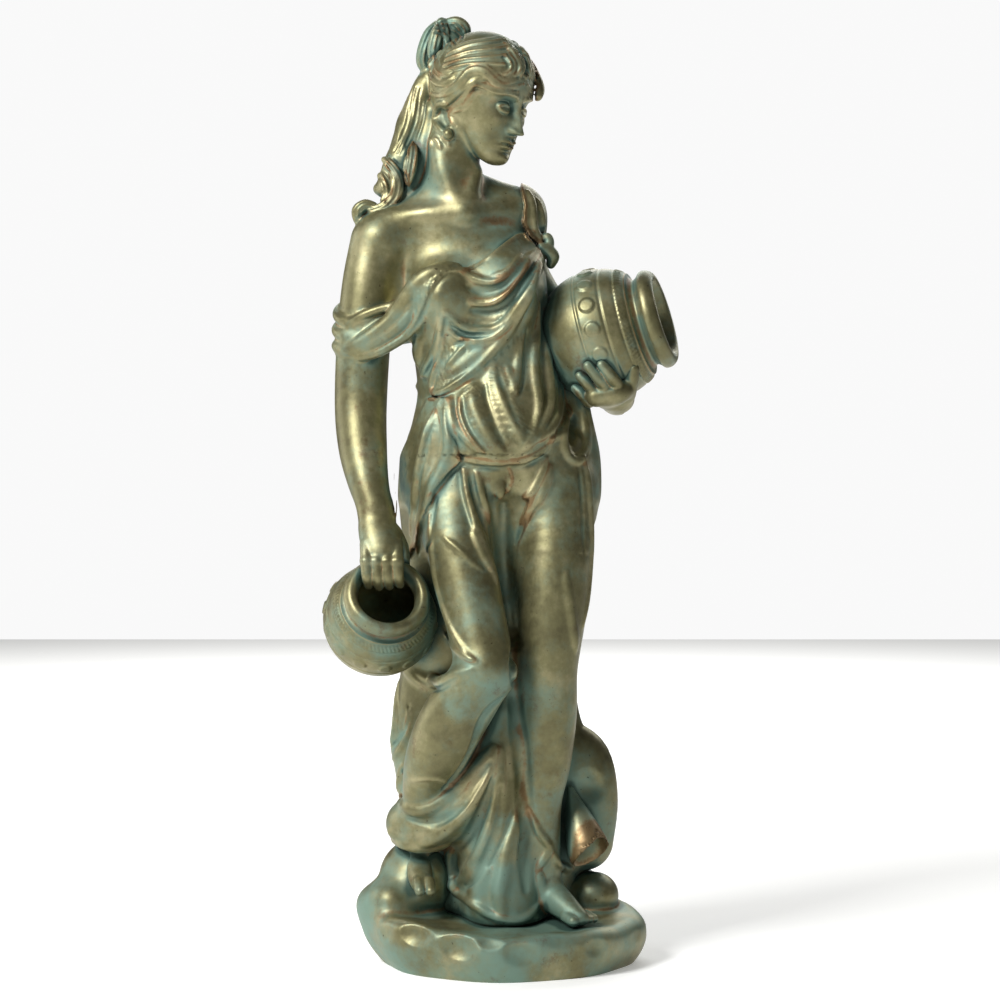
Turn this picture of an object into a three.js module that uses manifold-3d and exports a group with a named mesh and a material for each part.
// A garden statue of a draped water carrier, cast in one piece with her two jugs and her rocky base.
//
// Frame: millimetres, +Z up. She faces -Y, and +X is on her left. The origin is under the middle of the
// casting, on the ground. The figure is modelled as a distance field, the way a sculptor builds up clay: the
// body first, then the cloth, the folds, the hair and the hands. The field is meshed and thinned to few
// triangles. The two jugs are turned on a lathe, joined to the figure, and hollowed.
import * as THREE from "three";
import Module from "manifold-3d";
import { mergeVertices } from "three/addons/utils/BufferGeometryUtils.js";

// ---- driving dimensions, mm ----
const CELL = 5; // spacing of the field's samples
const THIN = true; // thin the modelled figure to FIGURE_TRIANGLES
const FIGURE_TRIANGLES = 6500;
const CLAY = { low: [-190, -150, -10], high: [190, 150, 1012] }; // the block of clay
const BASE = { x: 2, y: 0, halfWidth: 151, halfDepth: 127, height: 46 };
const CLOTH = 4; // thickness of a layer of cloth
const JUG_WALL = 7.5;
const HELD_JUG = { centre: [108, 15, 660], axis: [0.95, -0.23, 0.27], scale: 1 };
const LOW_JUG = { centre: [-125, -30, 361], axis: [0.18, -0.85, 0.49], scale: 0.845 };
const JUG_RADIUS = 70; // of the held jug's belly, before its scale
const JUG_SIDES = 28;

// ---- landmarks of the body; her right side is at -X ----
const SHOULDER_R = [-128, 6, 757];
const ELBOW_R = [-146.5, -2, 585];
const WRIST_R = [-129, -48, 478];
const SHOULDER_L = [16, 34, 789];
const ELBOW_L = [96, 90, 628];
const WRIST_L = [124, 12, 594];
const HIP_R = [-46, -8, 492];
const KNEE_R = [-14, -84, 312];
const ANKLE_R = [-86, -6, 120];
const HIP_L = [56, 0, 492];
const KNEE_L = [50, -34, 312];
const ANKLE_L = [48, -20, 88];
const SKULL = [-18, -2, 913];
const HEAD_TURN = THREE.MathUtils.degToRad(54); // to her left
const HEAD_BOW = THREE.MathUtils.degToRad(21);

const EMPTY = 1000; // the field far from any clay

// ---- smooth joins of distances ----
function smoothMin(a, b, soft) {
  const h = Math.max(soft - Math.abs(a - b), 0) / soft;
  return Math.min(a, b) - h * h * soft * 0.25;
}

function smoothMax(a, b, soft) {
  return -smoothMin(-a, -b, soft);
}

// ---- curves ----
// Points along the Catmull-Rom curve through stations. A station may hold more than a place.
function along(stations, pieces) {
  const last = stations.length - 1;
  const at = (i) => stations[Math.min(Math.max(i, 0), last)];
  const made = [];
  for (let s = 0; s <= last * pieces; s++) {
    const i = Math.min(Math.floor(s / pieces), last - 1);
    const t = s / pieces - i;
    const [before, from, to, after] = [at(i - 1), at(i), at(i + 1), at(i + 2)];
    made.push(
      from.map((b, c) => {
        const [a, d, e] = [before[c], to[c], after[c]];
        const bend = 2 * a - 5 * b + 4 * d - e + t * (3 * (b - d) + e - a);
        return b + 0.5 * t * (d - a + t * bend);
      }),
    );
  }
  return made;
}

// ---- forms: a list of parts, each with its box and its distance at a point ----
// An ellipsoid with three half sizes along three axes.
function ball(centre, radii, axes = [[1, 0, 0], [0, 1, 0], [0, 0, 1]]) {
  const [a, b, c] = Array.isArray(radii) ? radii : [radii, radii, radii];
  const [u, v, w] = axes;
  const half = [0, 1, 2].map((i) => Math.hypot(a * u[i], b * v[i], c * w[i]));
  const distance = (x, y, z) => {
    const [dx, dy, dz] = [x - centre[0], y - centre[1], z - centre[2]];
    const p = (dx * u[0] + dy * u[1] + dz * u[2]) / a;
    const q = (dx * v[0] + dy * v[1] + dz * v[2]) / b;
    const r = (dx * w[0] + dy * w[1] + dz * w[2]) / c;
    const size = Math.sqrt(p * p + q * q + r * r);
    const slope = Math.sqrt((p * p) / (a * a) + (q * q) / (b * b) + (r * r) / (c * c));
    return slope < 1e-6 ? -Math.min(a, b, c) : (size * (size - 1)) / slope;
  };
  return [{ low: centre.map((m, i) => m - half[i]), high: centre.map((m, i) => m + half[i]), distance }];
}

// A tapering limb through stations [x, y, z, radius]. flat below 1 thins it along the direction across.
function limb(stations, { pieces = 6, flat = 1, across = [0, 1, 0] } = {}) {
  const line = pieces > 1 ? along(stations, pieces) : stations;
  const parts = [];
  for (let i = 0; i + 1 < line.length; i++) {
    const [[ax, ay, az, ar], [bx, by, bz, br]] = [line[i], line[i + 1]];
    const [ex, ey, ez] = [bx - ax, by - ay, bz - az];
    const length2 = Math.max(ex * ex + ey * ey + ez * ez, 1e-9);
    const wide = Math.max(ar, br);
    const distance = (x, y, z) => {
      const reach = ((x - ax) * ex + (y - ay) * ey + (z - az) * ez) / length2;
      const t = Math.min(Math.max(reach, 0), 1);
      const [dx, dy, dz] = [x - ax - t * ex, y - ay - t * ey, z - az - t * ez];
      const n = dx * across[0] + dy * across[1] + dz * across[2];
      const square = dx * dx + dy * dy + dz * dz + n * n * (1 / (flat * flat) - 1);
      return Math.sqrt(Math.max(square, 0)) - (ar + t * (br - ar));
    };
    parts.push({
      low: [Math.min(ax, bx) - wide, Math.min(ay, by) - wide, Math.min(az, bz) - wide],
      high: [Math.max(ax, bx) + wide, Math.max(ay, by) + wide, Math.max(az, bz) + wide],
      distance,
    });
  }
  return parts;
}

// An upright trunk through stations [z, x, y, half width, half depth]. pleat(angle, z) adds to its radius.
function trunk(stations, pleat = () => 0) {
  const line = along(stations, 8).sort((p, q) => p[0] - q[0]);
  const [bottom, top] = [line[0][0], line.at(-1)[0]];
  const low = [Math.min(...line.map((s) => s[1] - s[3])), Math.min(...line.map((s) => s[2] - s[4])), bottom];
  const high = [Math.max(...line.map((s) => s[1] + s[3])), Math.max(...line.map((s) => s[2] + s[4])), top];
  const distance = (x, y, z) => {
    let i = 0;
    while (i + 2 < line.length && line[i + 1][0] < z) i++;
    const t = Math.min(Math.max((z - line[i][0]) / (line[i + 1][0] - line[i][0]), 0), 1);
    const [, cx, cy, a, b] = line[i].map((m, c) => m + t * (line[i + 1][c] - m));
    const [dx, dy] = [(x - cx) / a, (y - cy) / b];
    const size = Math.hypot(dx, dy);
    const slope = Math.hypot(dx / a, dy / b);
    const round = slope < 1e-6 ? -Math.min(a, b) : (size * (size - 1)) / slope;
    return smoothMax(round - pleat(Math.atan2(dx, -dy), z), Math.max(bottom - z, z - top), 6);
  };
  return [{ low: low.map((m, i) => (i < 2 ? m - 8 : m)), high: high.map((m, i) => (i < 2 ? m + 8 : m)), distance }];
}

// The signed distance from a point to a closed outline, both in the plane of the front view.
function outline(points) {
  return (x, z) => {
    let nearest = Infinity;
    let inside = false;
    for (let i = 0, j = points.length - 1; i < points.length; j = i++) {
      const [[px, pz], [qx, qz]] = [points[i], points[j]];
      const [ex, ez, dx, dz] = [qx - px, qz - pz, x - px, z - pz];
      const t = Math.min(Math.max((dx * ex + dz * ez) / (ex * ex + ez * ez), 0), 1);
      nearest = Math.min(nearest, Math.hypot(dx - t * ex, dz - t * ez));
      if (pz > z !== qz > z && x < ((qx - px) * (z - pz)) / (qz - pz) + px) inside = !inside;
    }
    return inside ? -nearest : nearest;
  };
}

// ---- the clay ----
class Clay {
  constructor(low, high, cell) {
    this.low = low;
    this.cell = cell;
    this.size = low.map((m, i) => Math.ceil((high[i] - m) / cell) + 1);
    this.field = new Float32Array(this.size[0] * this.size[1] * this.size[2]).fill(EMPTY);
  }

  // The first and last samples inside a box.
  span(low, high) {
    const first = low.map((m, i) => Math.max(Math.ceil((m - this.low[i]) / this.cell), 0));
    const last = high.map((m, i) => Math.min(Math.floor((m - this.low[i]) / this.cell), this.size[i] - 1));
    return [first, last];
  }

  // Calls visit(sample, x, y, z) for each sample inside a box.
  within(low, high, visit) {
    const [first, last] = this.span(low, high);
    for (let k = first[2]; k <= last[2]; k++) {
      const z = this.low[2] + k * this.cell;
      for (let j = first[1]; j <= last[1]; j++) {
        const y = this.low[1] + j * this.cell;
        const row = (k * this.size[1] + j) * this.size[0];
        for (let i = first[0]; i <= last[0]; i++) visit(row + i, this.low[0] + i * this.cell, y, z);
      }
    }
  }

  // Calls join(sample, distance) once for each sample near a form, with the least distance to its parts.
  near(parts, margin, join) {
    const found = (this.found ??= new Float32Array(this.field.length).fill(EMPTY));
    const boxes = parts.map((p) => [p.low.map((m) => m - margin), p.high.map((m) => m + margin)]);
    parts.forEach((part, p) => {
      this.within(...boxes[p], (n, x, y, z) => {
        const d = part.distance(x, y, z);
        if (d < found[n]) found[n] = d;
      });
    });
    for (const box of boxes)
      this.within(...box, (n) => {
        if (found[n] === EMPTY) return;
        join(n, found[n]);
        found[n] = EMPTY;
      });
  }

  add(parts, soft = 6) {
    this.near(parts, soft + this.cell, (n, d) => {
      this.field[n] = smoothMin(this.field[n], d, soft);
    });
  }

  cut(parts, soft = 3) {
    this.near(parts, soft + this.cell, (n, d) => {
      this.field[n] = smoothMax(this.field[n], -d, soft);
    });
  }

  // Raises the surface by the thickness of a cloth wherever region(x, y, z) is below zero.
  layer(low, high, region, thick = CLOTH, soft = 3) {
    this.within(low, high, (n, x, y, z) => {
      const old = this.field[n];
      if (old > thick + 3 * this.cell) return;
      this.field[n] = smoothMin(old, smoothMax(old - thick, region(x, y, z), soft), soft);
    });
  }

  // The field at any place.
  at(x, y, z) {
    const p = [x, y, z].map((m, i) => (m - this.low[i]) / this.cell);
    const f = p.map((m, i) => Math.min(Math.max(Math.floor(m), 0), this.size[i] - 2));
    const [a, b, c] = p.map((m, i) => m - f[i]);
    const [right, back, up] = [1, this.size[0], this.size[0] * this.size[1]];
    const n = f[0] + f[1] * back + f[2] * up;
    const row = (m) => this.field[m] * (1 - a) + this.field[m + right] * a;
    const sheet = (m) => row(m) * (1 - b) + row(m + back) * b;
    return sheet(n) * (1 - c) + sheet(n + up) * c;
  }

  // The point where a ray [x, y, z, dx, dy, dz] first meets the clay.
  hit([x, y, z, dx, dy, dz], longest = 330) {
    const step = this.cell / 2;
    let before = EMPTY;
    for (let s = 0; s < longest; s += step) {
      const here = this.at(x + s * dx, y + s * dy, z + s * dz);
      if (here < 0) {
        const t = s - step * (here / (here - before));
        return [x + t * dx, y + t * dy, z + t * dz];
      }
      before = here;
    }
    return null;
  }

  // A ridge (rise above 0) or a groove (rise below 0) that follows the surface under a row of rays.
  // from and to are the shares of its length over which it fades in and out.
  fold(rays, width, rise, { soft = 4, from = 0.25, to = 0.25, pieces = 5, mirror = null } = {}) {
    const met = along(rays, pieces)
      .map((ray) => ({ point: this.hit(ray), inward: ray.slice(3) }))
      .filter((m) => m.point);
    if (met.length < 3) return;
    for (let pass = 0; pass < 3; pass++) {
      const old = met.map((m) => m.point);
      for (let i = 1; i + 1 < met.length; i++)
        met[i].point = old[i].map((m, c) => (old[i - 1][c] + 2 * m + old[i + 1][c]) / 4);
    }
    const radius = width / 2;
    const stations = met.map(({ point, inward }, i) => {
      const t = i / (met.length - 1);
      const full = Math.min(from ? t / from : 1, to ? (1 - t) / to : 1, 1);
      const size = radius * (0.3 + 0.7 * Math.sin((full * Math.PI) / 2));
      const sink = rise > 0 ? size - (rise * size) / radius : -size - (rise * size) / radius;
      return [...point.map((m, c) => m + sink * inward[c]), size];
    });
    const copies = mirror ? [stations, stations.map(mirror)] : [stations];
    for (const copy of copies) {
      if (rise > 0) this.add(limb(copy, { pieces: 1 }), soft);
      else this.cut(limb(copy, { pieces: 1 }), soft);
    }
  }
}

// Rays straight back from in front of her, through points [x, z].
const front = (points) => points.map(([x, z]) => [x, CLAY.low[1], z, 0, 1, 0]);

// Rays straight forward from behind her, through points [x, z].
const behind = (points) => points.map(([x, z]) => [x, CLAY.high[1], z, 0, -1, 0]);

// Level rays from all round an upright axis, at points [degrees, z]. 0 is the front and 90 her left.
function around([cx, cy], points, reach = 170) {
  return points.map(([degrees, z]) => {
    const a = THREE.MathUtils.degToRad(degrees);
    const [dx, dy] = [Math.sin(a), -Math.cos(a)];
    return [cx + dx * reach, cy + dy * reach, z, -dx, -dy, 0];
  });
}

// ---- the body ----
function shapeTorso(clay) {
  clay.add(
    trunk([
      [772, -40, 12, 60, 34],
      [745, -32, 9, 72, 42],
      [705, -27, 4, 74, 47],
      [670, -23, 3, 68, 46],
      [640, -17, 3, 71, 45],
      [600, -11, 4, 73, 46],
      [570, -9, 6, 80, 52],
      [535, -3, 8, 95, 58],
      [490, 0, 10, 99, 64],
    ]),
    10,
  );
  clay.add(
    limb([
      [SHOULDER_R[0] + 10, SHOULDER_R[1], SHOULDER_R[2] + 4, 30],
      [-84, 8, 772, 28],
      [-46, 12, 782, 32],
      [0, 24, 788, 30],
      [...SHOULDER_L, 29],
    ]),
    18,
  );
  clay.add(ball([-58, -31, 699], [32, 28, 33]), 16);
  clay.add(ball([4, -28, 708], [30, 27, 32]), 16);
  clay.add(ball([-6, -28, 546], [60, 32, 54]), 34);
  // Her shoulder blades and the hollow of her back.
  clay.add(ball([-86, 36, 728], [30, 16, 42]), 18);
  clay.add(ball([6, 46, 738], [30, 16, 42]), 18);
}

function shapeNeck(clay) {
  clay.add(
    limb([
      [-50, 14, 776, 38],
      [-54, 10, 808, 29],
      [-50, 6, 838, 27],
      [-42, 4, 880, 28],
    ]),
    16,
  );
  clay.add(limb([[-46, 18, 812, 22], [-12, 26, 806, 20], [20, 34, 792, 20]]), 14);
  clay.add(limb([[-58, 18, 812, 22], [-88, 14, 790, 20], [-112, 8, 776, 20]]), 14);
  // The muscles from behind the ears to the pit of the neck, and the collar bones.
  clay.add(limb([[-66, -14, 862, 6], [-58, -22, 828, 7], [-40, -25, 788, 5]]), 12);
  clay.add(limb([[-24, -8, 830, 5], [-30, -22, 806, 6], [-35, -25, 788, 5]]), 10);
  clay.add(limb([[-42, -26, 787, 4], [-78, -24, 786, 4], [-110, -10, 782, 5]]), 12);
  clay.add(limb([[-32, -26, 787, 4], [-6, -12, 791, 4], [20, 8, 794, 5]]), 12);
}

function shapeArms(clay) {
  clay.add(
    limb([
      [...SHOULDER_R, 30],
      [-137, 3, 712, 29],
      [-143.5, 1, 655, 28.5],
      [...ELBOW_R, 27],
      [-143, -18, 540, 24.5],
      [-137, -36, 505, 20.5],
      [...WRIST_R, 17],
    ]),
    12,
  );
  clay.add(
    limb([
      [...SHOULDER_L, 28],
      [26, 62, 722, 26],
      [...ELBOW_L, 24],
      [122, 56, 604, 20],
      [...WRIST_L, 15],
    ]),
    12,
  );
}

// Her right hand hangs from the wrist, and its fingers hook over the rim of the lower jug.
function shapeRightHand(clay) {
  clay.add(
    limb(
      [
        [...WRIST_R, 16],
        [-126, -58, 456, 20],
        [-121, -68, 436, 21],
      ],
      { flat: 0.7, across: [0, -0.85, 0.53] },
    ),
    8,
  );
  for (let finger = 0; finger < 4; finger++) {
    const x = -137.5 + finger * 10.6;
    const long = 3 * Math.sin((Math.PI * (finger + 0.7)) / 4);
    clay.add(
      limb([
        [x, -70, 440, 6.4],
        [x + 1, -80, 424, 6.2],
        [x + 2, -82, 409 - long, 5.8],
        [x + 3, -73, 400 - long, 4.8],
      ]),
      1.5,
    );
  }
  clay.add(limb([[-108, -54, 452, 7], [-101, -52, 436, 7], [-99, -48, 420, 6]]), 5);
}

// A point on the front of the held jug's belly, lifted off it.
function onJug(x, z, lift) {
  const [cx, cy, cz] = HELD_JUG.centre;
  const square = (JUG_RADIUS + lift) ** 2 - (x - cx) ** 2 - (z - cz) ** 2;
  return [x, cy - Math.sqrt(Math.max(square, 0)), z];
}

// Her left hand lies under the held jug, with the fingers up its front.
function shapeLeftHand(clay) {
  clay.add(limb([[...WRIST_L, 15], [122, -4, 592, 15], [112, -16, 594, 14]]), 10);
  clay.add(limb([[128, 0, 592, 12], [130, -22, 600, 11], [120, -30, 596, 12], [100, -30, 593, 11]]), 8);
  const fingers = [
    [126, 600, 105, 625],
    [114, 597, 91, 624],
    [102, 594, 83, 614],
    [94, 589, 79, 602],
  ];
  for (const [x1, z1, x2, z2] of fingers) {
    const middle = onJug((x1 + x2) / 2, (z1 + z2) / 2, 7);
    clay.add(limb([[...onJug(x1, z1, 5), 7], [...middle, 6.4], [...onJug(x2, z2, 3), 5.2]]), 1.5);
  }
  clay.add(limb([[134, -14, 596, 8], [137, -26, 610, 7.5], [139, -32, 622, 6]]), 3);
}

// ---- the legs, and the feet that show below the hem ----
function shapeLegs(clay) {
  clay.add(
    limb([
      [...HIP_R, 46],
      [-42, -44, 440, 36],
      [-30, -64, 385, 32],
      [...KNEE_R, 30],
    ]),
    18,
  );
  clay.add(
    limb([
      [...KNEE_R, 30],
      [-34, -76, 282, 33],
      [-50, -66, 256, 34],
      [-64, -54, 226, 32],
      [-76, -40, 194, 25],
      [...ANKLE_R, 17],
    ]),
    8,
  );
  clay.add(
    limb([
      [...HIP_L, 46],
      [58, -24, 430, 37],
      [55, -32, 370, 35],
      [...KNEE_L, 31],
      [50, -30, 262, 30],
      [48, -26, 212, 26],
      [44, -26, 165, 20],
      [...ANKLE_L, 16],
    ]),
    14,
  );
}

function shapeFeet(clay) {
  clay.add(limb([[52, -24, 74, 17], [62, -40, 68, 15], [74, -56, 60, 12], [82, -64, 56, 9]]), 8);
  for (let toe = 0; toe < 5; toe++) {
    const [x, y] = [68 + toe * 5.5, -64 + toe * 4.5];
    const radius = toe === 0 ? 6 : 4.6;
    clay.add(limb([[x, y, 57, radius], [x + 7, y - 11, 54, radius * 0.95]]), 2);
  }
  // Her right foot is behind, on the boulder, and two toes show.
  clay.add(limb([[-86, -16, 104, 15], [-82, -44, 92, 12], [-80, -58, 86, 8]]), 6);
  for (let toe = 0; toe < 2; toe++) {
    const x = -84 + toe * 11;
    clay.add(limb([[x, -56, 92, 6], [x + 2, -68, 84, 5.5]]), 1.5);
  }
}

// ---- the base ----
function shapeBase(clay) {
  const { x: cx, y: cy, halfWidth: a, halfDepth: b, height } = BASE;
  const distance = (x, y, z) => {
    const [dx, dy] = [(x - cx) / a, (y - cy) / b];
    const angle = Math.atan2(dy, dx);
    const ragged = 0.022 * Math.sin(3 * angle + 0.6) + 0.012 * Math.sin(8 * angle + 2);
    const middle = 38 - 8 * dx;
    const under = 0.06 + 0.1 * THREE.MathUtils.smoothstep(-dx, -0.2, 1) + 0.03 * THREE.MathUtils.smoothstep(dx, 0.3, 1);
    const tuck = z < middle ? under * ((middle - z) / middle) ** 2 : 0.05 * ((z - middle) / middle) ** 2;
    const side = (Math.hypot(dx, dy) - 0.985 - ragged + tuck) * Math.min(a, b);
    const slope = 12 * THREE.MathUtils.smoothstep(-x, 0, 130) + 14 * THREE.MathUtils.smoothstep(y, -60, 90);
    const top = z - height - slope - 1.5 * Math.sin(x * 0.07 + 1) * Math.cos(y * 0.08);
    return smoothMax(smoothMax(side, top, 14), -6 - z, 1);
  };
  clay.add([{ low: [cx - a - 8, cy - b - 8, -6], high: [cx + a + 8, cy + b + 8, height + 34], distance }], 6);
  // Broad flat chips off the front and the right of the rim: [degrees from the front, height, depth, size].
  const chips = [
    [-52, 44, 5, 34],
    [-34, 50, 9, 40],
    [-17, 36, 7, 44],
    [-4, 52, 8, 30],
    [8, 30, 6, 46],
    [22, 48, 8, 34],
    [38, 30, 6, 44],
    [52, 52, 8, 30],
    [68, 34, 5, 44],
  ];
  for (const [degrees, z, depth, radius] of chips) {
    const turn = THREE.MathUtils.degToRad(degrees);
    const out = 1 + (radius - depth) / Math.hypot(a * Math.sin(turn), b * Math.cos(turn));
    clay.cut(ball([cx + out * a * Math.sin(turn), cy - out * b * Math.cos(turn), z], [radius, radius, radius * 0.8]), 2);
  }
  // The boulder under her right foot, and the rock behind her.
  clay.add(ball([-88, 8, 84], [40, 46, 44]), 10);
  clay.add(ball([-112, -18, 66], [28, 34, 26]), 12);
  clay.add(ball([60, 50, 62], [58, 46, 34]), 14);
  clay.add(ball([100, 24, 66], [26, 28, 24]), 8);
  clay.add(ball([-126, 6, 60], [24, 40, 22]), 12);
}

// ---- the clothes ----
// The garment's edge across her chest, from the fold of her right arm up to her left shoulder.
const NECKLINE = [
  [-104, 687],
  [-91, 701],
  [-79, 716],
  [-64, 726],
  [-50, 730],
  [-36, 729],
  [-28, 724],
  [-14, 730],
  [-2, 740],
  [10, 752],
  [24, 766],
];
// The lower edge of the short over-fold that hangs from her left shoulder.
const HEM = [
  [42, 717],
  [35, 686],
  [23, 662],
  [10, 642],
  [-4, 627],
  [-22, 613],
  [-40, 601],
  [-55, 596],
  [-67, 594],
  [-73, 600],
  [-84, 614],
];
const WAIST = [
  [-52, 536],
  [-44, 532],
  [-36, 527],
  [-18, 521],
  [-2, 519],
  [16, 520],
  [31, 525],
  [45, 534],
  [56, 546],
];

function shapeDress(clay) {
  const pleat = (angle, z) => {
    const down = THREE.MathUtils.smoothstep(520 - z, 0, 300);
    const back = THREE.MathUtils.smoothstep(-Math.cos(angle), -0.3, 0.6);
    return down * back * 5 * Math.sin(11 * angle + 0.008 * z + 1.2 * Math.sin(z * 0.012));
  };
  clay.add(
    trunk(
      [
        [545, 0, 12, 88, 56],
        [485, -1.5, 16, 99.5, 62],
        [440, -3.5, 20, 97.5, 58],
        [390, -5.5, 26, 94.5, 54],
        [350, -10.5, 30, 90.5, 50],
        [317, -14.5, 34, 89.5, 48],
        [285, -16, 38, 92, 46],
        [250, -17, 40, 97, 47],
        [222, -18, 40, 99, 48],
        [195, -14, 40, 98, 52],
        [158, -12, 40, 95, 54],
        [106, -10, 38, 96, 54],
        [50, -8, 36, 96, 56],
      ],
      pleat,
    ),
    12,
  );
  // The cloth that hangs between her legs, and spreads to the hem in front of them.
  clay.add(
    trunk([
      [340, 6, 0, 20, 40],
      [290, 4, 0, 26, 42],
      [240, 0, 0, 32, 46],
      [190, -8, 0, 44, 52],
      [140, -4, 0, 50, 58],
      [90, 2, 0, 48, 64],
      [46, 4, 0, 48, 68],
    ]),
    14,
  );
}

// The fuller masses of cloth: the blouse that hangs over the waist, the bundle round her right ankle, the web
// between her right arm and her side, and the drape over her left hip.
function massCloth(clay) {
  clay.add(limb([[-38, -38, 548, 15], [-10, -46, 538, 18], [20, -45, 540, 17], [46, -34, 554, 14]]), 14);
  clay.add(limb([[-94, -8, 146, 26], [-64, -26, 150, 28], [-34, -36, 170, 26], [-10, -38, 214, 20], [2, -36, 262, 14]]), 12);
  clay.add(limb([[-132, -12, 664, 20], [-108, -16, 670, 20], [-84, -16, 676, 20]], { flat: 0.8 }), 8);
  clay.add(limb([[79, 22, 604, 9], [82, 16, 575, 11], [90, 12, 535, 13], [91, 12, 505, 13], [87, 10, 470, 11]]), 10);
}

// The layers of cloth over her body, each with its outline in the front view.
function layCloth(clay) {
  const garment = outline([
    ...NECKLINE,
    [34, 800],
    [36, 830],
    [130, 830],
    [130, 540],
    [-100, 540],
    [-104, 660],
  ]);
  clay.layer([-118, -140, 530], [130, 120, 830], (x, y, z) => garment(x, z), 3, 1.5);
  const strap = outline([[20, 762], [30, 800], [30, 830], [80, 830], [80, 690], [42, 700]]);
  clay.layer([10, -60, 690], [90, 110, 830], (x, y, z) => strap(x, z), 4, 1.5);
  const overFold = outline([...HEM, [-82, 660], [-73, 690], [-57, 716], [-28, 722], [10, 752], [30, 770], [48, 740]]);
  clay.layer([-100, -140, 580], [60, 20, 770], (x, y, z) => overFold(x, z), 5, 1.5);
  const blouse = outline([...WAIST, [62, 590], [56, 680], [-60, 680], [-64, 590], [-54, 560]]);
  clay.layer([-80, -140, 500], [80, 10, 680], (x, y, z) => blouse(x, z), 4, 1.5);
  const hip = outline([
    [-40, 530],
    [-49, 511],
    [-59, 501],
    [-67, 493],
    [-74, 487],
    [-84, 450],
    [-100, 430],
    [-112, 520],
    [-76, 592],
    [-54, 590],
    [-52, 560],
  ]);
  clay.layer([-120, -140, 430], [-30, 20, 600], (x, y, z) => hip(x, z), 5, 1.5);
}

// Folds in the front view: the line of the crest, its width and its rise above the cloth.
const SWAG_ROLLS = [
  [[-166, -6, 664, 6], [-155, -22, 669, 7], [-140, -30, 678, 7], [-122, -33, 685, 7], [-107, -36, 690, 6], [-96, -42, 697, 4]],
  [[-158, -18, 642, 7], [-138, -30, 649, 9], [-121, -37, 662, 9], [-106, -43, 677, 10], [-95, -48, 692, 10.5], [-82, -53, 705, 11], [-68, -55, 715, 10], [-54, -52, 721, 8], [-42, -48, 723, 5]],
  [[-170, -6, 640, 6], [-158, -22, 634, 7], [-140, -31, 634, 8], [-122, -35, 641, 8], [-105, -39, 652, 8], [-92, -44, 666, 8], [-84, -48, 682, 6]],
];
const CHEST_FOLDS = [
  [[[37, 738], [24, 720], [8, 709], [-10, 705], [-28, 710], [-40, 720]], 10, 5],
  [[[41, 733], [31, 717], [16, 702], [-2, 691], [-16, 687], [-32, 690]], 9, 4.5],
  [[[43, 727], [33, 702], [22, 680], [8, 665], [-10, 658], [-24, 660], [-38, 668], [-50, 680]], 10, 5],
  [[[41, 719], [31, 694], [20, 670], [4, 654], [-16, 648], [-34, 648], [-50, 658]], 9, 4],
  [HEM.slice(0, 10), 7, 3],
  [[[-56, 678], [-58, 659], [-64, 643], [-74, 627], [-83, 616]], 8, 3.5],
];
const CHEST_GROOVES = [
  [[[-42, 719], [-57, 713], [-68, 703], [-75, 690], [-82, 676], [-90, 663], [-102, 651]], 5, -4],
  [[[-54, 660], [-58, 646], [-62, 632], [-66, 618], [-68, 602]], 5, -4],
  [[[30, 716], [16, 705], [0, 698], [-16, 697], [-30, 700]], 8, -4],
  [[[32, 710], [18, 690], [4, 677], [-10, 672], [-24, 673]], 9, -4],
  [[[33, 694], [20, 668], [6, 652], [-10, 643], [-28, 639]], 5, -3],
];
const BLOUSE_FOLDS = [
  [[[-55, 590], [-54, 570], [-50, 554], [-43, 538]], 7, 3],
  [[[-46, 594], [-44, 574], [-35, 552], [-24, 536], [-14, 528]], 8, 4],
  [[[-34, 600], [-33, 580], [-22, 556], [-8, 538], [4, 530]], 10, 4],
  [[[-14, 613], [-12, 599], [-8, 579], [-2, 560], [8, 542], [20, 530]], 9, 4],
  [[[-4, 626], [3, 609], [10, 592], [14, 575], [19, 556], [24, 536]], 9, 4],
  [[[41, 700], [38, 659], [31, 630], [24, 609], [16, 590]], 8, 4],
  [[[47, 716], [47, 670], [44, 632], [42, 600], [36, 570], [27, 540]], 9, 4.5],
  [[[50, 690], [57, 640], [57, 605], [52, 575], [41, 552], [28, 532]], 9, 4],
  [[[60, 612], [64, 585], [57, 558], [40, 540]], 8, 4],
];
const BLOUSE_GROOVES = [
  [[[-40, 596], [-38, 576], [-28, 552], [-14, 534]], 4, -3],
  [[[-22, 606], [-22, 590], [-14, 566], [2, 540]], 5, -3.5],
  [[[-8, 616], [-4, 596], [2, 574], [14, 546]], 4, -3],
  [[[12, 650], [13, 629], [13, 609], [12, 593]], 6, -4],
  [[[34, 690], [34, 650], [28, 622]], 5, -3],
];
const HIP_FOLDS = [
  [[[-63, 590], [-70, 564], [-78, 540], [-86, 520], [-90, 499], [-93, 469], [-94, 440]], 7, 4],
  [[[-54, 584], [-51, 560], [-49, 540], [-58, 516], [-70, 492], [-79, 473], [-85, 449], [-90, 425]], 9, 5],
  [[[-36, 528], [-49, 513], [-59, 502], [-67, 494], [-76, 486]], 5, 2.5],
  [WAIST.slice(1), 8, 3.5],
  [[[66, 570], [66, 551], [71, 535], [80, 527], [87, 535], [89, 549], [86, 568]], 8, 6],
  [[[50, 536], [44, 520], [34, 502], [20, 489], [2, 484]], 7, 4],
  [[[54, 530], [49, 508], [38, 488], [26, 470]], 6, 4],
  [[[89, 521], [95, 489], [96, 449], [94, 413], [88, 379], [82, 345]], 5, 3],
  [[[-55, 446], [-39, 434], [-24, 423], [-12, 412]], 6, 3],
  [[[-38, 512], [-34, 489], [-29, 465], [-22, 442], [-12, 415], [-1, 391]], 6, 3],
  [[[-18, 489], [-9, 459], [-4, 430], [0, 400]], 6, 3.5],
  [[[34, 492], [24, 462], [14, 432], [12, 402]], 6, 4],
];
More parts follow.
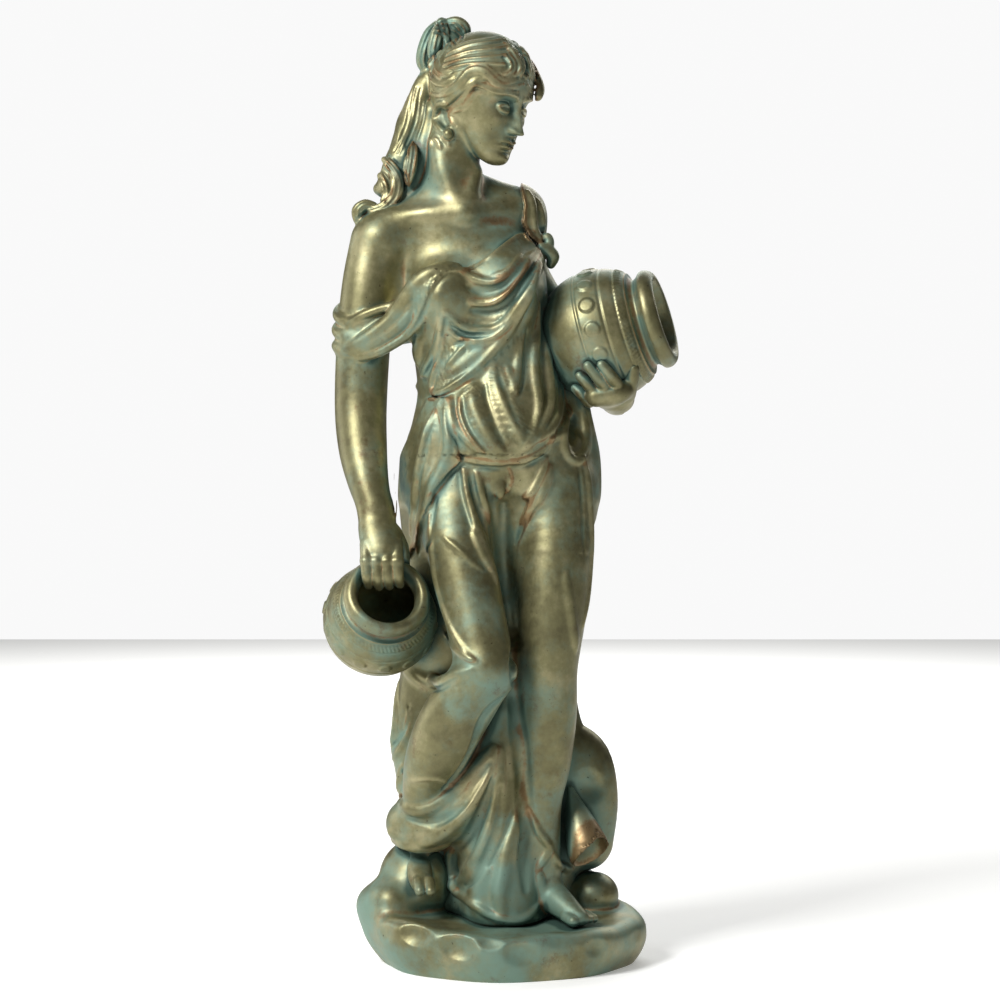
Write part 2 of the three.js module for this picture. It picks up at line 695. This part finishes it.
const HIP_GROOVES = [
  [[[-42, 522], [-52, 506], [-63, 494], [-72, 480], [-78, 460]], 6, -4],
  [[[-77, 528], [-82, 500], [-84, 470], [-86, 440]], 5, -4],
  [[[-36, 518], [-18, 512], [-2, 510], [16, 511], [32, 516], [44, 524]], 5, -3],
  [[[4, 478], [4, 440], [5, 400], [7, 360], [8, 320]], 16, -9],
  [[[-27, 500], [-20, 470], [-13, 444]], 5, -3],
];
const SKIRT_FOLDS = [
  [[[-57, 350], [-47, 337], [-33, 326], [-20, 322]], 6, 3],
  [[[-99, 308], [-83, 298], [-68, 298], [-50, 306], [-36, 314]], 12, 6],
  [[[-92, 300], [-99, 262], [-100, 246], [-108, 226], [-116, 216]], 9, 5],
  [[[-98, 240], [-104, 214], [-110, 190], [-106, 160]], 9, 5],
  [[[-108, 166], [-90, 162], [-76, 164], [-59, 171], [-43, 183], [-28, 198], [-17, 218], [-9, 236]], 13, 8],
  [[[-90, 152], [-68, 155], [-48, 165], [-32, 181], [-20, 198], [-8, 222], [-4, 246]], 9, 6],
  [[[-116, 131], [-100, 126], [-86, 124], [-70, 128], [-54, 136], [-39, 150], [-27, 168], [-15, 190], [-6, 220]], 15, 9],
  [[[-54, 126], [-54, 107], [-51, 91], [-46, 79]], 8, 6],
  [[[-46, 79], [-31, 94], [-19, 113], [-9, 137], [-3, 165], [1, 196], [2, 230]], 12, 8],
  [[[28, 240], [25, 195], [20, 160], [12, 130], [4, 105], [0, 84], [3, 56]], 15, 8],
  [[[12, 262], [15, 232], [14, 205], [9, 184]], 14, 6],
  [[[20, 165], [9, 146], [-3, 124], [-12, 106]], 4, 2.5],
  [[[30, 170], [42, 144], [54, 124]], 5, 3],
  [[[50, 120], [44, 100], [34, 84], [28, 66]], 9, 5],
  [[[-42, 72], [-27, 66], [-11, 57], [9, 52], [24, 52], [36, 60], [44, 74], [50, 96]], 8, 4],
];
const SKIRT_GROOVES = [
  [[[-96, 290], [-82, 288], [-70, 290], [-56, 297], [-42, 306]], 5, -4],
  [[[-84, 146], [-62, 150], [-44, 160], [-30, 176], [-18, 196]], 6, -4],
  [[[-40, 122], [-30, 134], [-20, 156], [-12, 180]], 10, -5],
  [[[-46, 108], [-38, 100], [-28, 112], [-18, 134]], 14, -6],
  [[[20, 130], [16, 104], [20, 76], [24, 62]], 10, -6],
  [[[6, 170], [0, 148], [-6, 124]], 7, -4],
  [[[30, 300], [26, 262], [24, 220], [26, 180]], 7, -5],
];

function foldCloth(clay) {
  for (const roll of SWAG_ROLLS) clay.add(limb(roll), 3);
  for (const [line, width, rise] of [...CHEST_FOLDS, ...BLOUSE_FOLDS, ...HIP_FOLDS, ...SKIRT_FOLDS])
    clay.fold(front(line), width, rise, { soft: 2.5 });
  for (const [line, width, rise] of [...CHEST_GROOVES, ...BLOUSE_GROOVES, ...HIP_GROOVES, ...SKIRT_GROOVES])
    clay.fold(front(line), width, rise, { soft: 3 });
  // The knot of cloth that hangs from the middle of the waist.
  clay.add(limb([[-8, -58, 512, 7], [-4, -66, 498, 8], [0, -66, 489, 5]], { flat: 0.8 }), 3);
  clay.add(limb([[2, -60, 512, 7], [6, -66, 502, 6], [6, -64, 494, 4]]), 3);
  // The sleeve that has slipped down her right arm, in three rolls that sag towards the front.
  for (const [z, radius, thick] of [
    [690, 29, 6],
    [668, 29, 7],
    [646, 29, 8],
  ]) {
    const ring = [];
    for (let degrees = -30; degrees <= 210; degrees += 20) {
      const a = THREE.MathUtils.degToRad(degrees);
      ring.push([-147 - radius * Math.sin(a), 1 - radius * Math.cos(a), z - 6 * Math.cos(a), thick]);
    }
    clay.add(limb(ring, { pieces: 2 }), 4);
  }
}

// ---- the back of the dress ----
function shapeBack(clay) {
  for (let fold = 0; fold < 7; fold++) {
    const x = -84 + fold * 26;
    const sway = 7 * Math.sin(fold * 2.1);
    clay.fold(
      behind([
        [x * 0.8, 520 - 12 * Math.abs(fold - 3)],
        [x * 0.86 + sway, 420],
        [x * 0.92, 300],
        [x * 1.0 - sway, 180],
        [x * 1.02, 90],
      ]),
      11,
      5,
    );
  }
  for (let swag = 0; swag < 5; swag++) {
    const drop = 26 * swag;
    clay.fold(
      behind([
        [46, 770 - drop * 0.4],
        [20, 730 - drop],
        [-24, 706 - drop],
        [-66, 712 - drop],
        [-96, 728 - drop * 1.2],
      ]),
      12,
      4,
    );
  }
  clay.fold(behind([[-88, 556], [-50, 540], [0, 534], [50, 542], [88, 560]]), 10, 5);
}

// The cloth that flares out behind her left calf and rolls over in a scroll.
function shapeTrain(clay) {
  clay.add(
    limb(
      [
        [60, 30, 320, 20],
        [74, 32, 250, 24],
        [88, 34, 205, 30],
        [90, 36, 160, 33],
        [84, 36, 112, 30],
      ],
      { flat: 0.8 },
    ),
    12,
  );
  clay.cut(ball([92, -4, 178], [20, 22, 24]), 6);
  clay.add(limb([[78, -4, 162, 10], [84, -8, 146, 15], [90, -12, 128, 19]]), 5);
  clay.cut(ball([96, -22, 104], [30, 26, 17], [[0.94, 0, 0.34], [0, 1, 0], [-0.34, 0, 0.94]]), 2);
}

// ---- the head: HEAD_AXES point to her right ear, up, and forward ----
const [turnSin, turnCos] = [Math.sin(HEAD_TURN), Math.cos(HEAD_TURN)];
const [bowSin, bowCos] = [Math.sin(HEAD_BOW), Math.cos(HEAD_BOW)];
const HEAD_AXES = [
  [-turnCos, -turnSin, 0],
  [turnSin * bowSin, -turnCos * bowSin, bowCos],
  [turnSin * bowCos, -turnCos * bowCos, -bowSin],
];

// A place on the head, measured from the middle of the skull.
const head = (...parts) => SKULL.map((m, i) => m + parts.reduce((sum, p, a) => sum + p * HEAD_AXES[a][i], 0));

// The parts of a place along HEAD_AXES.
const inHead = (x, y, z) => HEAD_AXES.map((a) => (x - SKULL[0]) * a[0] + (y - SKULL[1]) * a[1] + (z - SKULL[2]) * a[2]);

// The same place on the other side of the head.
function acrossHead([x, y, z, ...rest]) {
  const [side] = inHead(x, y, z);
  return [x, y, z].map((m, i) => m - 2 * side * HEAD_AXES[0][i]).concat(rest);
}

function shapeFace(clay) {
  clay.add(ball(head(0, 4, -2), [46, 54, 56], HEAD_AXES), 6);
  clay.add(ball(head(0, -26, 14), [37, 42, 37], HEAD_AXES), 12);
  clay.add(ball(head(0, -58, 40), [15, 11, 13], HEAD_AXES), 14);
  for (const s of [-1, 1]) {
    clay.add(limb([[...head(s * 34, -22, 4), 10], [...head(s * 28, -46, 16), 9], [...head(s * 12, -60, 38), 9]]), 12);
    clay.add(ball(head(s * 25, -20, 34), [15, 14, 14], HEAD_AXES), 14);
    clay.cut(ball(head(s * 20, -4, 56), [14, 9, 10], HEAD_AXES), 8);
  }
  clay.add(limb([[...head(0, 6, 52), 6], [...head(0, -10, 57), 5.5], [...head(0, -22, 63), 6]]), 7);
  for (const s of [-1, 1]) {
    clay.add(ball(head(s * 19.5, -4, 42), [9.5, 8.5, 9], HEAD_AXES), 2);
    clay.add(ball(head(s * 6, -24, 57), [4.5, 4, 6], HEAD_AXES), 4);
    clay.add(limb([[...head(s * 5, 6, 53), 4], [...head(s * 18, 9, 50), 4.5], [...head(s * 30, 4, 40), 4]]), 7);
  }
  clay.add(limb([[...head(-11, -38, 46), 2.5], [...head(0, -36, 54), 4.5], [...head(11, -38, 46), 2.5]]), 4);
  clay.add(limb([[...head(-9, -41, 46), 2.5], [...head(0, -43, 53), 5], [...head(9, -41, 46), 2.5]]), 4);
  clay.cut(limb([[...head(-12, -39, 49), 1], [...head(0, -39.5, 59), 1.2], [...head(12, -39, 49), 1]]), 1.5);
  for (const s of [-1, 1]) {
    clay.add(
      limb([[...head(s * 45, 6, -2), 4], [...head(s * 50, 8, -9), 4], [...head(s * 50, -8, -11), 4.5], [...head(s * 45, -23, -1), 5.5]]),
      4,
    );
  }
}

// A hair line that slopes back from the forehead, past the ears, to the nape.
const hairline = (up, forward) => (forward - 4 - (up + 12) * 0.8) / 1.28;

function shapeHair(clay) {
  const cap = ball(head(0, 7, -3), [54, 57, 60], HEAD_AXES)[0];
  const distance = (x, y, z) => {
    const [, up, forward] = inHead(x, y, z);
    return smoothMax(cap.distance(x, y, z), hairline(up, forward), 5);
  };
  clay.add([{ ...cap, distance }], 3);
  // Waved locks from the parting, over the temple, to the back of the head. The far side mirrors the near one.
  const locks = [
    [[[22, 924], [12, 917], [2, 915], [-8, 920], [-17, 927], [-25, 926], [-33, 920], [-42, 911], [-52, 904], [-63, 902], [-74, 908]], 12, 6],
    [[[16, 910], [4, 909], [-6, 912], [-14, 919], [-22, 920], [-29, 915], [-37, 907], [-48, 901]], 8, 4],
    [[[8, 906], [-5, 905], [-17, 908], [-25, 911], [-32, 909], [-38, 900], [-43, 892], [-52, 892]], 8, 4.5],
    [[[-50, 890], [-46, 882], [-46, 875], [-50, 871]], 5, 3],
  ];
  for (const [line, width, rise] of locks) clay.fold(front(line), width, rise, { soft: 2.5, mirror: acrossHead });
  for (let strand = 0; strand < 7; strand++) {
    const t = strand / 6;
    const start = [28 - 6 * t, 944 - 14 * t];
    clay.fold(
      front([
        start,
        [14 - 10 * t, 953 - 22 * t],
        [-12 - 8 * t, 960 - 26 * t],
        [-40 - 6 * t, 954 - 26 * t],
        [-64 - 4 * t, 944 - 20 * t],
      ]),
      7,
      -2.5,
      { soft: 2.5, mirror: acrossHead },
    );
  }
  clay.fold(
    [[0, 30, 62], [0, 48, 40], [0, 60, 10], [0, 56, -30]].map(([s, u, f]) => {
      const place = head(s * 2, u * 2, f * 2);
      const inward = place.map((m, i) => (SKULL[i] - m) / Math.hypot(...place.map((p, c) => SKULL[c] - p)));
      return [...place, ...inward];
    }),
    5,
    -3,
    { soft: 2 },
  );
}

function shapeBun(clay) {
  clay.add(ball([-56, 32, 966], [23, 22, 23]), 6);
  const lobes = [
    [[-78, 34, 946, 8], [-80, 30, 960, 10], [-74, 26, 976, 11], [-65, 28, 988, 9]],
    [[-65, 16, 950, 7], [-69, 14, 966, 11], [-63, 18, 982, 12], [-56, 24, 991, 8]],
    [[-51, 14, 952, 6], [-51, 12, 968, 7], [-53, 18, 984, 8]],
    [[-40, 22, 966, 8], [-39, 28, 980, 9], [-45, 32, 989, 8], [-56, 36, 991, 8]],
    [[-46, 50, 958, 9], [-50, 54, 974, 10], [-60, 46, 988, 9]],
  ];
  for (const lobe of lobes) clay.add(limb(lobe), 2.5);
}

// The tail of hair that falls behind her right shoulder, as twisted locks that end in a curl.
function shapeTail(clay) {
  const middle = along(
    [
      [-70, 30, 940],
      [-83, 32, 912],
      [-94, 32, 884],
      [-102, 30, 858],
      [-109, 24, 834],
      [-120, 14, 812],
    ],
    5,
  );
  clay.add(limb(middle.map((m, i) => [...m, 12 + 3 * Math.sin((i / middle.length) * Math.PI)]), { pieces: 1 }), 4);
  for (let lock = 0; lock < 3; lock++) {
    const stations = middle.map(([x, y, z], i) => {
      const t = i / (middle.length - 1);
      const turn = lock * ((2 * Math.PI) / 3) + t * 7;
      const wide = 9 + 3 * Math.sin(t * Math.PI);
      return [x + wide * Math.cos(turn), y + wide * Math.sin(turn), z, 7.5];
    });
    clay.add(limb(stations, { pieces: 1 }), 2);
  }
  const curls = [
    [[-84, 12, 864, 3], [-86, 6, 852, 9], [-93, 2, 838, 11], [-98, 2, 824, 8], [-100, 4, 812, 3]],
    [[-126, 16, 858, 5], [-114, 8, 848, 9], [-105, 4, 830, 10], [-108, 2, 812, 9], [-124, 2, 799, 8], [-140, 4, 801, 6]],
    [[-134, 4, 800, 6], [-148, 4, 801, 7], [-156, 6, 792, 7], [-154, 8, 779, 5]],
    [[-118, 20, 832, 9], [-122, 14, 816, 10], [-132, 10, 806, 8]],
  ];
  for (const curl of curls) clay.add(limb(curl), 2.5);
}

// ---- meshing ----
// Marching tetrahedra: each cube of samples is six tetrahedra round its main diagonal.
function meshOf(clay) {
  const { size, field, cell, low } = clay;
  const step = [1, size[0], size[0] * size[1]];
  const corner = [0, 1, 2, 3, 4, 5, 6, 7].map((c) => (c & 1) * step[0] + ((c >> 1) & 1) * step[1] + (c >> 2) * step[2]);
  const tetrahedra = [
    [0, 1, 3, 7],
    [0, 2, 6, 7],
    [0, 4, 5, 7],
    [0, 3, 2, 7],
    [0, 6, 4, 7],
    [0, 5, 1, 7],
  ];
  const points = [];
  const triangles = [];
  const known = new Map();
  const place = (n) => [
    low[0] + (n % size[0]) * cell,
    low[1] + (Math.floor(n / size[0]) % size[1]) * cell,
    low[2] + Math.floor(n / step[2]) * cell,
  ];
  const between = (a, b) => {
    const [p, q] = a < b ? [a, b] : [b, a];
    const key = p * field.length + q;
    if (!known.has(key)) {
      const t = Math.min(Math.max(field[p] / (field[p] - field[q]), 0.02), 0.98);
      const [from, to] = [place(p), place(q)];
      known.set(key, points.length / 3);
      points.push(...from.map((m, i) => m + t * (to[i] - m)));
    }
    return known.get(key);
  };
  // The cut through one tetrahedron, with its corners ordered so that the triangle faces out.
  const slice = ([a, b, c, d]) => {
    const inside = [a, b, c, d].map((n) => field[n] < 0);
    const count = inside.filter(Boolean).length;
    if (count === 0 || count === 4) return;
    const order = [a, b, c, d];
    const turn = (i, j, k) => {
      [order[i], order[j], order[k]] = [order[j], order[k], order[i]];
    };
    // Even turns bring the odd corner, or the two inside ones, to the front without mirroring.
    const odd = count === 2 ? -1 : inside.indexOf(count === 1);
    if (odd === 1) turn(0, 1, 2);
    if (odd === 2) turn(0, 2, 1);
    if (odd === 3) turn(0, 3, 1);
    const [p, q, r, s] = order;
    if (count === 1) triangles.push(between(p, q), between(p, r), between(p, s));
    if (count === 3) triangles.push(between(p, q), between(p, s), between(p, r));
    if (count !== 2) return;
    const [i, j] = [0, 1, 2, 3].filter((m) => inside[m]);
    if (i === 0 && j === 2) turn(1, 2, 3);
    if (i === 0 && j === 3) turn(1, 3, 2);
    if (i === 1 && j === 2) turn(0, 1, 2);
    if (i === 1 && j === 3) turn(0, 1, 3);
    if (i === 2 && j === 3) {
      [order[0], order[1], order[2], order[3]] = [order[2], order[3], order[0], order[1]];
    }
    const [e, f, g, h] = order;
    const corners = [between(e, g), between(e, h), between(f, h), between(f, g)];
    triangles.push(corners[0], corners[1], corners[2], corners[0], corners[2], corners[3]);
  };
  for (let k = 0; k + 1 < size[2]; k++)
    for (let j = 0; j + 1 < size[1]; j++)
      for (let i = 0; i + 1 < size[0]; i++) {
        const n = (k * size[1] + j) * size[0] + i;
        const filled = corner.reduce((sum, c) => sum + (field[n + c] < 0 ? 1 : 0), 0);
        if (filled === 0 || filled === 8) continue;
        for (const t of tetrahedra) slice(t.map((c) => n + corner[c]));
      }
  return { points, triangles };
}

// ---- thinning: the mesh keeps its form with fewer triangles ----
// A heap of edges, cheapest first. Each entry is [cost, ...anything].
class Queue {
  constructor() {
    this.items = [];
  }

  push(item) {
    let i = this.items.push(item) - 1;
    while (i > 0) {
      const up = (i - 1) >> 1;
      if (this.items[up][0] <= item[0]) break;
      this.items[i] = this.items[up];
      i = up;
    }
    this.items[i] = item;
  }

  pop() {
    const first = this.items[0];
    const item = this.items.pop();
    const count = this.items.length;
    if (count === 0) return first;
    let i = 0;
    while (2 * i + 1 < count) {
      let down = 2 * i + 1;
      if (down + 1 < count && this.items[down + 1][0] < this.items[down][0]) down++;
      if (this.items[down][0] >= item[0]) break;
      this.items[i] = this.items[down];
      i = down;
    }
    this.items[i] = item;
    return first;
  }
}

// Joins neighbouring points, cheapest first, until few enough triangles are left. The cost of a join is the
// squared distance it moves the surface, times care(x, y, z).
function thin({ points, triangles }, target, care) {
  const count = points.length / 3;
  const corners = triangles;
  const used = Array.from({ length: count }, () => []);
  for (let f = 0; f * 3 < corners.length; f++)
    for (let c = 0; c < 3; c++) used[corners[3 * f + c]].push(f);
  const gone = new Uint8Array(corners.length / 3);
  const stamp = new Int32Array(count);
  const quadric = new Float64Array(10 * count);
  const normalOf = (f, moved = -1, to = null) => {
    const [p, q, r] = [0, 1, 2].map((c) => {
      const v = corners[3 * f + c];
      return v === moved ? to : [points[3 * v], points[3 * v + 1], points[3 * v + 2]];
    });
    const [ax, ay, az] = [q[0] - p[0], q[1] - p[1], q[2] - p[2]];
    const [bx, by, bz] = [r[0] - p[0], r[1] - p[1], r[2] - p[2]];
    const normal = [ay * bz - az * by, az * bx - ax * bz, ax * by - ay * bx];
    const longest = Math.max(
      ax * ax + ay * ay + az * az,
      bx * bx + by * by + bz * bz,
      (ax - bx) ** 2 + (ay - by) ** 2 + (az - bz) ** 2,
    );
    return { normal, size: Math.hypot(...normal), longest, point: p };
  };
  for (let f = 0; f * 3 < corners.length; f++) {
    const { normal, size, point } = normalOf(f);
    if (size < 1e-9) continue;
    const [a, b, c] = normal.map((m) => m / size);
    const d = -(a * point[0] + b * point[1] + c * point[2]);
    const weight = size * care(...point);
    const terms = [a * a, a * b, a * c, a * d, b * b, b * c, b * d, c * c, c * d, d * d];
    for (let k = 0; k < 3; k++)
      for (let t = 0; t < 10; t++) quadric[10 * corners[3 * f + k] + t] += weight * terms[t];
  }
  const priced = (a, b) => {
    const q = [];
    for (let t = 0; t < 10; t++) q.push(quadric[10 * a + t] + quadric[10 * b + t]);
    const price = ([x, y, z]) =>
      q[0] * x * x + q[4] * y * y + q[7] * z * z + q[9] +
      2 * (q[1] * x * y + q[2] * x * z + q[5] * y * z + q[3] * x + q[6] * y + q[8] * z);
    const from = [points[3 * a], points[3 * a + 1], points[3 * a + 2]];
    const to = [points[3 * b], points[3 * b + 1], points[3 * b + 2]];
    const middle = from.map((m, i) => (m + to[i]) / 2);
    const length = Math.hypot(...from.map((m, i) => m - to[i]));
    const choices = [middle, from, to];
    const [c0, c1, c2] = [q[4] * q[7] - q[5] * q[5], q[1] * q[7] - q[2] * q[5], q[1] * q[5] - q[2] * q[4]];
    const whole = q[0] * c0 - q[1] * c1 + q[2] * c2;
    if (Math.abs(whole) > 1e-3 * (q[0] + q[4] + q[7]) ** 3) {
      const best = [
        -(q[3] * c0 - q[6] * c1 + q[8] * c2) / whole,
        -(-q[3] * c1 + q[6] * (q[0] * q[7] - q[2] * q[2]) - q[8] * (q[0] * q[5] - q[1] * q[2])) / whole,
        -(q[3] * c2 - q[6] * (q[0] * q[5] - q[1] * q[2]) + q[8] * (q[0] * q[4] - q[1] * q[1])) / whole,
      ];
      if (Math.hypot(...best.map((m, i) => m - middle[i])) < 1.5 * length) choices.unshift(best);
    }
    let [cost, place] = [Infinity, null];
    for (const choice of choices) {
      const asked = price(choice);
      if (asked < cost) [cost, place] = [asked, choice];
    }
    return [cost + 0.002 * length ** 4, a, b, stamp[a], stamp[b], place];
  };
  const neighbours = (v) => {
    const found = new Set();
    for (const f of used[v]) for (let c = 0; c < 3; c++) found.add(corners[3 * f + c]);
    found.delete(v);
    return found;
  };
  const allowed = (a, b, place) => {
    const shared = [...neighbours(a)].filter((v) => neighbours(b).has(v));
    if (shared.length !== 2 || shared.some((v) => used[v].length < 4)) return false;
    for (const [v, other] of [
      [a, b],
      [b, a],
    ])
      for (const f of used[v]) {
        if ([0, 1, 2].some((c) => corners[3 * f + c] === other)) continue;
        const before = normalOf(f);
        const after = normalOf(f, v, place);
        const dot = before.normal.reduce((sum, m, i) => sum + m * after.normal[i], 0);
        const shape = Math.min(0.03, before.size / before.longest);
        if (dot < 0.25 * before.size * after.size || after.size < shape * after.longest) return false;
      }
    return true;
  };
  let left = corners.length / 3;
  // Joins point b into point a, and drops the two triangles between them.
  const join = (a, b, place) => {
    for (let i = 0; i < 3; i++) points[3 * a + i] = place[i];
    for (let t = 0; t < 10; t++) quadric[10 * a + t] += quadric[10 * b + t];
    for (const f of used[b]) {
      const at = [0, 1, 2].find((c) => corners[3 * f + c] === b);
      if ([0, 1, 2].every((c) => corners[3 * f + c] !== a)) {
        corners[3 * f + at] = a;
        used[a].push(f);
        continue;
      }
      gone[f] = 1;
      left--;
      for (let c = 0; c < 3; c++) {
        const v = corners[3 * f + c];
        if (v !== b) used[v] = used[v].filter((g) => g !== f);
      }
    }
    used[b] = [];
    stamp[a]++;
    stamp[b]++;
  };
  // A join that isn't allowed now may be later, so the queue is filled again until nothing more can go.
  for (let before = Infinity; left > target && left < before; ) {
    before = left;
    const queue = new Queue();
    for (let i = 0; i < corners.length; i++) {
      if (gone[Math.floor(i / 3)]) continue;
      const [a, b] = [corners[i], corners[i % 3 === 2 ? i - 2 : i + 1]];
      if (a < b) queue.push(priced(a, b));
    }
    while (left > target && queue.items.length > 0) {
      const [, a, b, stampA, stampB, place] = queue.pop();
      if (stamp[a] !== stampA || stamp[b] !== stampB || !allowed(a, b, place)) continue;
      join(a, b, place);
      for (const v of neighbours(a)) queue.push(priced(a, v));
    }
  }
  const number = new Map();
  const kept = { points: [], triangles: [] };
  for (let f = 0; f < gone.length; f++) {
    if (gone[f]) continue;
    for (let c = 0; c < 3; c++) {
      const v = corners[3 * f + c];
      if (!number.has(v)) {
        number.set(v, number.size);
        kept.points.push(points[3 * v], points[3 * v + 1], points[3 * v + 2]);
      }
      kept.triangles.push(number.get(v));
    }
  }
  return kept;
}

// ---- the jugs ----
// The outer profile of a jug, from the foot of its belly to the inner edge of its lip, as [radius, height].
function jugProfile() {
  const belly = [];
  for (let a = -90; a <= 33.1; a += 15.375) {
    const t = THREE.MathUtils.degToRad(a);
    belly.push([JUG_RADIUS * Math.cos(t), JUG_RADIUS * Math.sin(t)]);
  }
  return [...belly, [50, 43], [46.5, 46.5], [52.5, 56], [52, 64], [44.5, 70], [39, 67]];
}

// The hollow of a jug, open past its lip.
function hollowProfile(scale) {
  const inner = JUG_RADIUS - JUG_WALL / scale;
  const belly = [];
  for (let a = -90; a <= 48.1; a += 23) {
    const t = THREE.MathUtils.degToRad(a);
    belly.push([inner * Math.cos(t), inner * Math.sin(t)]);
  }
  return [...belly, [36, 48], [34, 56], [39, 66], [46, 72], [48, 80]];
}

// A profile turned about the axis of a jug.
function turned(profile, { centre, axis, scale }) {
  const line = profile.map(([r, h]) => new THREE.Vector2(r * scale, h * scale));
  line[0].x = 0;
  line.push(new THREE.Vector2(0, line.at(-1).y));
  const geometry = new THREE.LatheGeometry(line, JUG_SIDES);
  const direction = new THREE.Vector3(...axis).normalize();
  geometry.applyQuaternion(new THREE.Quaternion().setFromUnitVectors(new THREE.Vector3(0, 1, 0), direction));
  geometry.translate(...centre);
  return geometry;
}

// Room in the clay for the hollow of a jug. It ends halfway through the wall, which the turned jug restores.
function clearJug(clay, { centre, scale }) {
  clay.cut(ball(centre, JUG_RADIUS * scale - JUG_WALL / 2), 1);
}

// ---- solids ----
const { Manifold, Mesh: SolidMesh } = await Module().then((wasm) => {
  wasm.setup();
  return wasm;
});

function solidOf({ points, triangles }) {
  return new Manifold(
    new SolidMesh({
      numProp: 3,
      vertProperties: new Float32Array(points),
      triVerts: new Uint32Array(triangles),
    }),
  );
}

function solidOfGeometry(geometry) {
  const bare = new THREE.BufferGeometry();
  bare.setAttribute("position", geometry.attributes.position);
  bare.setIndex(geometry.index);
  const joined = mergeVertices(bare, 1e-3);
  const index = [...joined.index.array];
  const triangles = [];
  for (let i = 0; i < index.length; i += 3) {
    const [a, b, c] = index.slice(i, i + 3);
    if (a !== b && b !== c && c !== a) triangles.push(a, b, c);
  }
  return solidOf({ points: joined.attributes.position.array, triangles });
}

function jugSolid(jug) {
  return solidOfGeometry(turned(jugProfile(), jug)).subtract(
    solidOfGeometry(turned(hollowProfile(jug.scale), jug)),
  );
}

// ---- the casting ----
function modelFigure() {
  const clay = new Clay(CLAY.low, CLAY.high, CELL);
  shapeTorso(clay);
  shapeNeck(clay);
  shapeArms(clay);
  shapeDress(clay);
  shapeLegs(clay);
  massCloth(clay);
  layCloth(clay);
  foldCloth(clay);
  shapeBack(clay);
  shapeTrain(clay);
  shapeFace(clay);
  shapeHair(clay);
  shapeBun(clay);
  shapeTail(clay);
  shapeBase(clay);
  shapeFeet(clay);
  clearJug(clay, HELD_JUG);
  clearJug(clay, LOW_JUG);
  shapeRightHand(clay);
  shapeLeftHand(clay);
  return meshOf(clay);
}

// Her face and hands keep more of their triangles.
function care(x, y, z) {
  if (z > 830) return 6;
  if (x < -90 && z > 385 && z < 470 && y < -40) return 5;
  return x > 76 && z > 575 && z < 632 && y < 5 ? 5 : 1;
}

const raw = modelFigure();
const figure = solidOf(THIN ? thin(raw, FIGURE_TRIANGLES, care) : raw);
const ground = solidOfGeometry(new THREE.BoxGeometry(600, 600, 40).translate(0, 0, -20));
const pieces = figure.add(jugSolid(HELD_JUG)).add(jugSolid(LOW_JUG)).subtract(ground).decompose();
const casting = pieces.sort((p, q) => q.volume() - p.volume())[0].getMesh();
const geometry = new THREE.BufferGeometry();
geometry.setAttribute("position", new THREE.BufferAttribute(new Float32Array(casting.vertProperties), 3));
geometry.setIndex([...casting.triVerts]);
geometry.computeBoundingBox();
const { min, max } = geometry.boundingBox;
geometry.translate(-(min.x + max.x) / 2, -(min.y + max.y) / 2, -min.z);
geometry.computeVertexNormals();

const statue = new THREE.Group();
statue.name = "garden_statue";
const carrier = new THREE.Mesh(geometry, new THREE.MeshStandardMaterial({ color: 0x7d7a55 }));
carrier.name = "statue";
statue.add(carrier);
export default statue;
